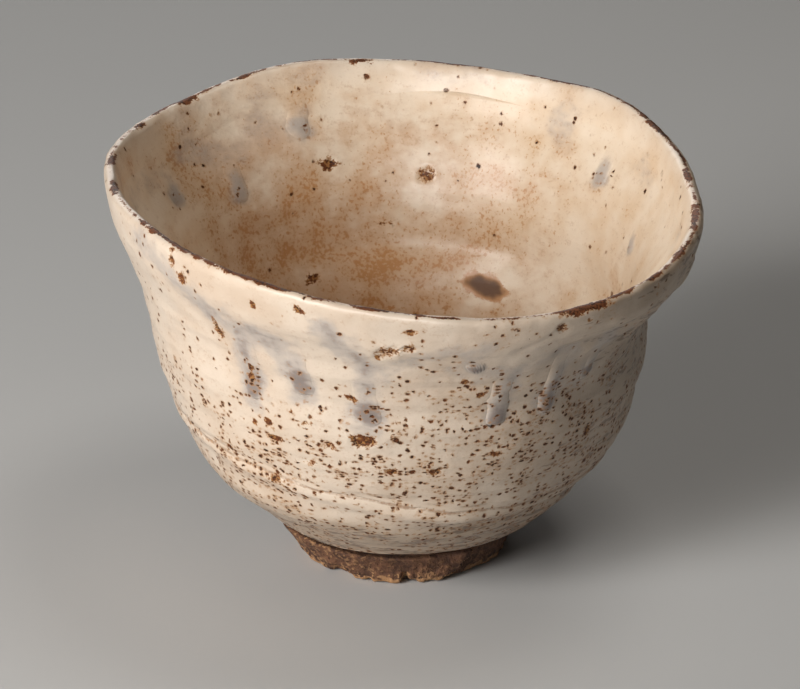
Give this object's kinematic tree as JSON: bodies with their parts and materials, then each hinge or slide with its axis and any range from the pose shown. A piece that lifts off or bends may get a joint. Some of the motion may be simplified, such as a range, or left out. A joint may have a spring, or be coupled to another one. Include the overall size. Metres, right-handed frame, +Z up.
{
  "type": "tea bowl",
  "caption": "Hand-thrown tea bowl with a bare cut foot ring, speckled cream glaze inside and out, and a greyer second glaze run down from an uneven lip.",
  "frame": {"origin": "on the ground under the middle of the bowl, at the bottom centre of the whole bowl's box", "axes": "+Z up out of the mouth; the bowl's front in the picture faces -Y, and +X is to its right"},
  "size_m": [0.1282, 0.1363, 0.0886],
  "materials": {
    "body_clay": "bare brown stoneware, matt and slightly sandy",
    "foot_clay": "bare cut stoneware, rough, with tan chipped edges",
    "cream_glaze": "satin cream glaze with dark pinholes drawn out along the throwing lines",
    "cream_glaze_inside": "satin cream glaze with rust mottling and a few craters",
    "grey_glaze": "satin grey-lavender second glaze, thin over a brown lip and thick in its runs"
  },
  "bodies": {
    "root": {"clay_body": "body_clay", "foot_ring": "foot_clay", "outside_glaze": "cream_glaze", "inside_glaze": "cream_glaze_inside", "rim_glaze": "grey_glaze"}
  },
  "joints": []
}
